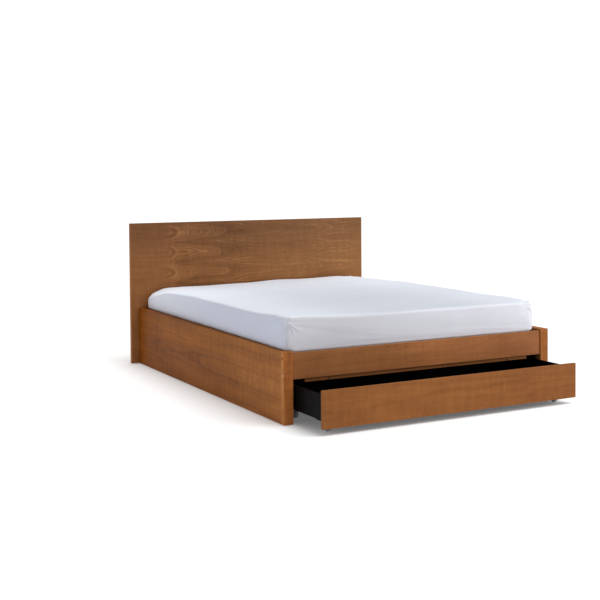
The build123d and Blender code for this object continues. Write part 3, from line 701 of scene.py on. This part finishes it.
def box_surface(half_x, half_y, height, tuck):
    """Quads over a box whose top is at 0 and bottom at -height, with the bottom's middle left open
    further in than tuck. Returns the points and the faces."""
    xs, ys = grid_lines(half_x), grid_lines(half_y)
    zs = np.linspace(-height, 0, round(height / SIDE_CELL) + 1)
    quads = []

    def lay(first, second, build, keep=None):
        for a0, a1 in zip(first[:-1], first[1:]):
            for b0, b1 in zip(second[:-1], second[1:]):
                if keep is None or keep((a0 + a1) / 2, (b0 + b1) / 2):
                    quads.append([build(a, b) for a, b in ((a0, b0), (a1, b0), (a1, b1), (a0, b1))])

    def near_rim(x, y):
        return min(half_x - abs(x), half_y - abs(y)) < tuck

    lay(xs, ys, lambda x, y: (x, y, 0.0))
    lay(ys, xs, lambda y, x: (x, y, -height), lambda y, x: near_rim(x, y))
    lay(ys, zs, lambda y, z: (half_x, y, z))
    lay(zs, ys, lambda z, y: (-half_x, y, z))
    lay(xs, zs, lambda x, z: (x, -half_y, z))
    lay(zs, xs, lambda z, x: (x, half_y, z))
    corners = np.array(quads).reshape(-1, 3)
    _, first, back = np.unique(np.round(corners, 6), axis=0, return_index=True, return_inverse=True)
    return corners[first], back.reshape(-1, 4)


def smooth(value, low, high):
    """0 below low, 1 above high, and a smooth rise between them."""
    t = np.clip((value - low) / (high - low), 0, 1)
    return t * t * (3 - 2 * t)


def rounded_section(inset, drop, radius):
    """Turns the square edge between two faces into a quarter circle. inset and drop are how far a
    point lies from the edge along each face."""
    a, b = radius - inset, radius - drop
    inside = (a > 0) & (b > 0)
    length = np.hypot(a, b)
    scale = np.where(inside, np.maximum(a, b) / np.maximum(length, 1e-9), 1.0)
    return radius - a * scale, radius - b * scale


def mattress_form(proud, tuck):
    """Points and faces of the mattress's outside, proud of its CAD solid's faces by a little.
    Also gives each point's drop below the top."""
    low, high = MATTRESS_LOW, MATTRESS_HIGH
    half_x, half_y = MATTRESS_WIDTH / 2, (high.y - low.y) / 2
    middle_x, middle_y = low.x + half_x, (high.y + low.y) / 2
    height = high.z - low.z
    points, faces = box_surface(half_x, half_y, height, tuck)
    x, y, z = points.T
    inset = np.minimum(half_x - abs(x), half_y - abs(y))
    drop = -z
    new_inset, new_drop = rounded_section(inset, drop, TOP_RADIUS)
    under = height - new_drop
    low_inset, low_under = rounded_section(new_inset, under, BOTTOM_RADIUS)
    bottom = under < BOTTOM_RADIUS
    new_inset = np.where(bottom, low_inset, new_inset)
    new_drop = np.where(bottom, height - low_under, new_drop)

    side = np.clip(new_drop / height, 0, 1)
    on_side = smooth(TOP_RADIUS - new_inset, 0, TOP_RADIUS)
    bulge = SIDE_BULGE * np.sin(np.pi * side) ** BULGE_ROUNDNESS * on_side
    out = new_inset - (bulge + proud) * (1 - smooth(new_inset, 0, PLAN_RADIUS))

    core_x, core_y = half_x - PLAN_RADIUS, half_y - PLAN_RADIUS
    qx, qy = abs(x) - core_x, abs(y) - core_y
    corner = (qx > 0) & (qy > 0)
    length = np.maximum(np.hypot(qx, qy), 1e-9)
    reach = PLAN_RADIUS - out
    by_x = (half_x - abs(x)) <= (half_y - abs(y))
    near_x, near_y = by_x & (inset < PLAN_RADIUS), ~by_x & (inset < PLAN_RADIUS)
    plan_x = np.where(corner, core_x + qx / length * reach, np.where(near_x, half_x - out, abs(x)))
    plan_y = np.where(corner, core_y + qy / length * reach, np.where(near_y, half_y - out, abs(y)))
    plan_x, plan_y = np.copysign(plan_x, x) + middle_x, np.copysign(plan_y, y) + middle_y
    share_y = (plan_y - low.y) / (high.y - low.y)
    plan_x = plan_x + SKEW * share_y

    level = high.z + proud - new_drop
    share_x = (x + half_x) / (2 * half_x)
    to_head, to_right = smooth(share_y, *SUNKEN_SHARES), smooth(share_x, *LEVEL_SHARES)
    hollow = -HOLLOW_MIDDLE * (1 - (x / half_x) ** 2) * (1 - (y / half_y) ** 2)
    settled = -to_head * (SUNKEN_HEAD + SETTLED_HEAD * (1 - to_right))
    from_left, from_foot = x + half_x, y + half_y
    raised_fade = (from_left / RAISED_REACH_X) ** 2 + (from_foot / RAISED_REACH_Y) ** 2
    raised = RAISED_CORNER * np.exp(-raised_fade)
    rolled_off = (1 - np.clip(from_left / SHOULDER_REACH, 0, 1)) ** 2
    shoulder = -SHOULDER * rolled_off * smooth(share_y, *SHOULDER_SHARES)
    level = level + (hollow + settled + raised + shoulder) * (1 - side)
    over_panel = 1 - smooth(plan_x, PANEL_INNER_FACE, PANEL_INNER_FACE + PANEL_BLEND)
    resting = SLAT_TOP + (PANEL_TOP - SLAT_TOP) * over_panel + REST_GAP
    level = level + np.maximum(resting - low.z, 0) * side
    return np.column_stack([plan_x, plan_y, level]), faces, new_drop


def make_piece(name, points, faces, material):
    """A mesh object with one material."""
    mesh = bpy.data.meshes.new(name)
    mesh.from_pydata(np.asarray(points).tolist(), [], np.asarray(faces).tolist())
    mesh.update()
    mesh.materials.append(material)
    mesh.polygons.foreach_set("use_smooth", [True] * len(mesh.polygons))
    piece = bpy.data.objects.new(name, mesh)
    bpy.context.scene.collection.objects.link(piece)
    return piece


def normals_of(points, faces):
    """The unit normal of each point, from the quads around it."""
    a, b, c, d = (points[faces[:, i]] for i in range(4))
    face_normal = np.cross(c - a, d - b)
    total = np.zeros_like(points)
    for i in range(4):
        np.add.at(total, faces[:, i], face_normal)
    return total / np.maximum(np.linalg.norm(total, axis=1, keepdims=True), 1e-12)


def mattress_body():
    """The closed, quilted mattress that stands for the CAD solid."""
    points, faces, _ = mattress_form(-BODY_INSET, math.inf)
    piece = make_piece("mattress_body", points, faces, quilted_ticking())
    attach(piece, "mattress")
    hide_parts("mattress")
    return piece


def ripple(points, seed, waves, size, direction_mix):
    """Soft creases: the sum of a few long waves, each with its own length and direction.
    direction_mix is how far the directions may leave the level."""
    rng = np.random.default_rng(seed)
    total = np.zeros(len(points))
    for _ in range(waves):
        angle = rng.uniform(0, math.pi)
        direction = np.array([math.cos(angle), math.sin(angle), direction_mix * rng.uniform(-1, 1)])
        length = rng.uniform(*size)
        phase = rng.uniform(0, 2 * math.pi)
        total += np.sin(points @ direction * 2 * math.pi / length + phase)
    return total / math.sqrt(waves)


GATHER_LEAN = 0.9
GATHER_PITCHES = (7, 17)  # creases in a full turn around the corner
GATHER_TWIST = 6.0  # radians in each metre away from the corner
GATHER_START = 20 * MM


def corner_gathers(points, corner, seed, count, reach, depth):
    """Creases that fan out from a mattress corner, deep near it and nearly gone at twice the reach."""
    rng = np.random.default_rng(seed)
    away = points - corner
    distance = np.linalg.norm(away, axis=1)
    flat_angle = np.arctan2(away[:, 1], away[:, 0])
    tilt = np.arctan2(away[:, 2], np.hypot(away[:, 0], away[:, 1]) + 1e-6)
    angle = flat_angle + GATHER_LEAN * tilt
    total = np.zeros(len(points))
    for _ in range(count):
        pitch = rng.uniform(*GATHER_PITCHES)
        phase = rng.uniform(0, 2 * math.pi)
        total += np.sin(angle * pitch + phase + GATHER_TWIST * distance)
    fade = np.exp(-((distance / reach) ** 2)) * smooth(distance, 0.0, GATHER_START)
    return depth * total / math.sqrt(count) * fade


SEAM_PROFILE = (  # the height, the place across the seam and the half width of each swelling
    (-9 * MM, 0.0, 4 * MM), (5 * MM, 9 * MM, 4.5 * MM), (-7 * MM, 34 * MM, 18 * MM),
)
SEAM_SPAN = 20 * MM
SEAM_DROPS = (2 * MM, 24 * MM)


def corner_seam(points, drop, corner, sign_x, sign_y):
    """The groove of a corner seam, with the ridge of its folded allowance beside it, and the dent
    where the cloth pulls next to that."""
    along_x, along_y = (points[:, 0] - corner[0]) * sign_x, (points[:, 1] - corner[1]) * sign_y
    outward = (along_x > -SEAM_SPAN) & (along_y > -SEAM_SPAN)
    across = (along_x - along_y) / math.sqrt(2)
    shape = sum(tall * np.exp(-(((across - place) / wide) ** 2)) for tall, place, wide in SEAM_PROFILE)
    return np.where(outward, shape * smooth(drop, *SEAM_DROPS), 0)


SETTLE_FRAMES = 18
SETTLE_LIMIT = 11 * MM
SPARE_EVERYWHERE = 0.002
SPARE_AT_CORNERS = -0.015
SLACK_KEPT = 0.12
CORNER_INSET = 10 * MM
CORNER_DROP = 14 * MM
SPARE_REACH = (20 * MM, 80 * MM)
SLACK_REACH = (30 * MM, 110 * MM)
CLOTH_SETTINGS = {
    "quality": 6,
    "mass": 0.05,
    "tension_stiffness": 30,
    "compression_stiffness": 30,
    "shear_stiffness": 12,
    "bending_stiffness": 0.4,
    "air_damping": 2,
    "shrink_min": SPARE_EVERYWHERE,
    "shrink_max": SPARE_AT_CORNERS,
}
SUPPORT_THICKNESS = 1.5 * MM
CLOTH_CLEARANCE = 1.2 * MM


def weigh(piece, name, weights):
    """A vertex group with one weight for each vertex."""
    group = piece.vertex_groups.new(name=name)
    for index in np.flatnonzero(weights > 0):
        group.add([int(index)], float(weights[index]), "REPLACE")
    return name


def settle_cloth(piece, support, pinned, spare, kept):
    """Lets the cloth fall slack over its support. Its spare cloth makes creases, the pinned rim
    stays, and no point moves further than the limit. kept is the share of the movement that the
    stretched cloth keeps at each point."""
    start = np.array([vertex.co for vertex in piece.data.vertices])
    solid = support.modifiers.new("solid", "COLLISION")
    support.collision.thickness_outer = SUPPORT_THICKNESS
    cloth = piece.modifiers.new("cloth", "CLOTH")
    for setting, value in CLOTH_SETTINGS.items():
        setattr(cloth.settings, setting, value)
    cloth.settings.vertex_group_mass = weigh(piece, "pinned", pinned)
    cloth.settings.vertex_group_shrink = weigh(piece, "spare", spare)
    cloth.collision_settings.distance_min = CLOTH_CLEARANCE
    cloth.collision_settings.use_self_collision = False
    scene = bpy.context.scene
    for number in range(1, SETTLE_FRAMES + 1):
        scene.frame_set(number)
    settled = piece.evaluated_get(bpy.context.evaluated_depsgraph_get())
    moved = np.array([vertex.co for vertex in settled.data.vertices]) - start
    length = np.maximum(np.linalg.norm(moved, axis=1, keepdims=True), 1e-9)
    moved *= np.minimum(1, SETTLE_LIMIT / length) * kept[:, None]
    piece.modifiers.remove(cloth)
    support.modifiers.remove(solid)
    piece.vertex_groups.clear()
    piece.data.vertices.foreach_set("co", (start + moved).ravel())
    piece.data.update()
    scene.frame_set(1)


TOP_RIPPLE, SIDE_RIPPLE = 2 * MM, 0.9 * MM
GATHERS = {"count": 7, "reach": 0.055, "depth": 5.5 * MM}
FIRST_GATHER_SEED = 11
CORNER_SIGNS = ((-1, -1), (1, -1), (1, 1), (-1, 1))
SIDE_STARTS, SIDE_ENDS = 0.2, 0.7  # shares of the height, where the side's ripple takes over
PIN_STARTS, PIN_ENDS = 0.86, 0.97
BOTTOM_MARGIN = 1 * MM


def fitted_sheet(support):
    """The sheet: stretched over the mattress, sewn and gathered at its corners, tucked under."""
    points, faces, drop = mattress_form(SHEET_PROUD, TUCK)
    normals = normals_of(points, faces)
    height = MATTRESS_HIGH.z - MATTRESS_LOW.z
    side = smooth(drop, SIDE_STARTS * height, SIDE_ENDS * height)
    on_bottom = smooth(drop, height - BOTTOM_RADIUS, height - BOTTOM_MARGIN)
    top_ripple = ripple(points, seed=3, waves=9, size=(0.22, 0.60), direction_mix=0.4)
    side_ripple = ripple(points, seed=5, waves=7, size=(0.12, 0.35), direction_mix=0.0)
    shift = TOP_RIPPLE * top_ripple * (1 - side) + SIDE_RIPPLE * side_ripple * side
    near_corner, kept, seams = np.zeros((3, len(points)))
    for number, (sign_x, sign_y) in enumerate(CORNER_SIGNS):
        left_edge = MATTRESS_LOW.x + (SKEW if sign_y > 0 else 0)
        corner = np.array([
            left_edge + (MATTRESS_WIDTH - CORNER_INSET if sign_x > 0 else CORNER_INSET),
            (MATTRESS_LOW.y if sign_y < 0 else MATTRESS_HIGH.y) - sign_y * CORNER_INSET,
            MATTRESS_HIGH.z - CORNER_DROP,
        ])
        distance = np.linalg.norm(points - corner, axis=1)
        near_corner = np.maximum(near_corner, 1 - smooth(distance, *SPARE_REACH))
        kept = np.maximum(kept, 1 - (1 - SLACK_KEPT) * smooth(distance, *SLACK_REACH))
        shift += corner_gathers(points, corner, FIRST_GATHER_SEED + number, **GATHERS)
        seams += corner_seam(points, drop, corner, sign_x, sign_y)
    creased = points + normals * (shift * (1 - on_bottom))[:, None]
    piece = make_piece("fitted_sheet", creased, faces, cotton_sheet())
    pinned = np.maximum(on_bottom, smooth(drop, PIN_STARTS * height, PIN_ENDS * height))
    settle_cloth(piece, support, pinned, near_corner * (1 - on_bottom), kept)
    sewn = np.array([vertex.co for vertex in piece.data.vertices])
    sewn += normals_of(sewn, faces) * (seams * (1 - on_bottom))[:, None]
    sunk = -((sewn - points) * normals).sum(axis=1)
    sewn += normals * (np.maximum(sunk - DEEPEST_CREASE, 0) * (1 - on_bottom))[:, None]
    piece.data.vertices.foreach_set("co", sewn.ravel())
    piece.data.update()
    soften = piece.modifiers.new("soften", "SUBSURF")
    soften.levels = soften.render_levels = 1
    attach(piece, "mattress")


# ---------------------------------------------------------------- stage
CAMERA_PLACE = Vector((-3.237, -5.6737, 1.219))
CAMERA_YAW = math.radians(27.79)
CAMERA_DOWN = math.radians(2.03)
CAMERA_ROLL = math.radians(-0.41)
CAMERA_LENS = 66.09
CAMERA_SHIFT_Y = -0.1417

FLOOR_REACH = 40.0
FLOOR_GAP = 0.5 * MM
# The floor's glow: painted light that lightens the shadows on it and under the bed.
FLOOR_GLOW = 0.12
BACKDROP_STRENGTH = 1.05
SKY_STRENGTH = 0.5
KEY_STRENGTH = 2.0
KEY_FROM = (0.35, -0.30, 1.0)
KEY_ANGLE = math.radians(50)
SOFT_BOXES = {  # where each stands, what it aims at, its width and its power
    "right_box": ((2.3, -2.4, 1.0), (0.8, -0.9, 0.40), 1.2, 19),
    "left_box": ((-1.5, 1.60, 2.0), (-0.3, 0.6, 0.5), 0.7, 6),
}


def camera():
    """The photo's camera, found from the bed's straight edges."""
    ahead = Vector((
        math.sin(CAMERA_YAW) * math.cos(CAMERA_DOWN),
        math.cos(CAMERA_YAW) * math.cos(CAMERA_DOWN),
        -math.sin(CAMERA_DOWN),
    ))
    right = Vector((math.cos(CAMERA_YAW), -math.sin(CAMERA_YAW), 0))
    up = right.cross(ahead)
    rolled_right = right * math.cos(CAMERA_ROLL) + up * math.sin(CAMERA_ROLL)
    rolled_up = up * math.cos(CAMERA_ROLL) - right * math.sin(CAMERA_ROLL)
    data = bpy.data.cameras.new("camera")
    data.lens = CAMERA_LENS
    data.shift_y = CAMERA_SHIFT_Y
    eye = bpy.data.objects.new("camera", data)
    turn = Matrix((rolled_right, rolled_up, -ahead)).transposed()
    eye.matrix_world = Matrix.Translation(CAMERA_PLACE) @ turn.to_4x4()
    bpy.context.scene.collection.objects.link(eye)
    bpy.context.scene.camera = eye


def studio():
    """A pale floor under an even white sky, with a broad sun and two soft boxes. The floor also glows a
    little, as painted light that lightens the shadows under the bed.
    """
    floor_material = Graph(
        "floor_finish", roughness=0.9, specular_ior_level=0.0, emission_color=(1, 1, 1, 1),
        emission_strength=FLOOR_GLOW,
    )
    grain = floor_material.noise(floor_material.vector(*floor_material.place()), 30.0, 2.0)
    colour = floor_material.ramp(grain, (0.3, 0.93), (0.7, 0.95))
    floor = make_piece(
        "floor",
        [(FLOOR_REACH * x, FLOOR_REACH * y, 0) for x, y in CORNER_SIGNS],
        [(0, 1, 2, 3)],
        floor_material.finish(colour),
    )
    floor.location.z = cad_low.z - FLOOR_GAP
    world = bpy.data.worlds.new("studio")
    world.use_nodes = True
    tree = world.node_tree
    lighting = tree.nodes["Background"]
    lighting.inputs["Color"].default_value = (1, 1, 1, 1)
    lighting.inputs["Strength"].default_value = SKY_STRENGTH
    seen = tree.nodes.new("ShaderNodeBackground")
    seen.inputs["Color"].default_value = (1, 1, 1, 1)
    seen.inputs["Strength"].default_value = BACKDROP_STRENGTH
    ray = tree.nodes.new("ShaderNodeLightPath")
    mix = tree.nodes.new("ShaderNodeMixShader")
    tree.links.new(ray.outputs["Is Camera Ray"], mix.inputs[0])
    tree.links.new(lighting.outputs[0], mix.inputs[1])
    tree.links.new(seen.outputs[0], mix.inputs[2])
    tree.links.new(mix.outputs[0], tree.nodes["World Output"].inputs[0])
    bpy.context.scene.world = world
    sun = bpy.data.lights.new("key", "SUN")
    sun.energy = KEY_STRENGTH
    sun.angle = KEY_ANGLE
    lamp = bpy.data.objects.new("key", sun)
    lamp.rotation_euler = Vector(KEY_FROM).to_track_quat("Z", "Y").to_euler()
    bpy.context.scene.collection.objects.link(lamp)
    for name, (place, aim, size, power) in SOFT_BOXES.items():
        box = bpy.data.lights.new(name, "AREA")
        box.size = size
        box.energy = power
        lamp = bpy.data.objects.new(name, box)
        lamp.location = place
        lamp.rotation_euler = (Vector(place) - Vector(aim)).to_track_quat("Z", "Y").to_euler()
        bpy.context.scene.collection.objects.link(lamp)
    view = bpy.context.scene.view_settings
    view.view_transform = "Standard"
    view.look = "None"
    view.exposure = 0.0
    view.gamma = 1.0


# ---------------------------------------------------------------- build
dress_cad_nodes()
fitted_sheet(mattress_body())
studio()
camera()
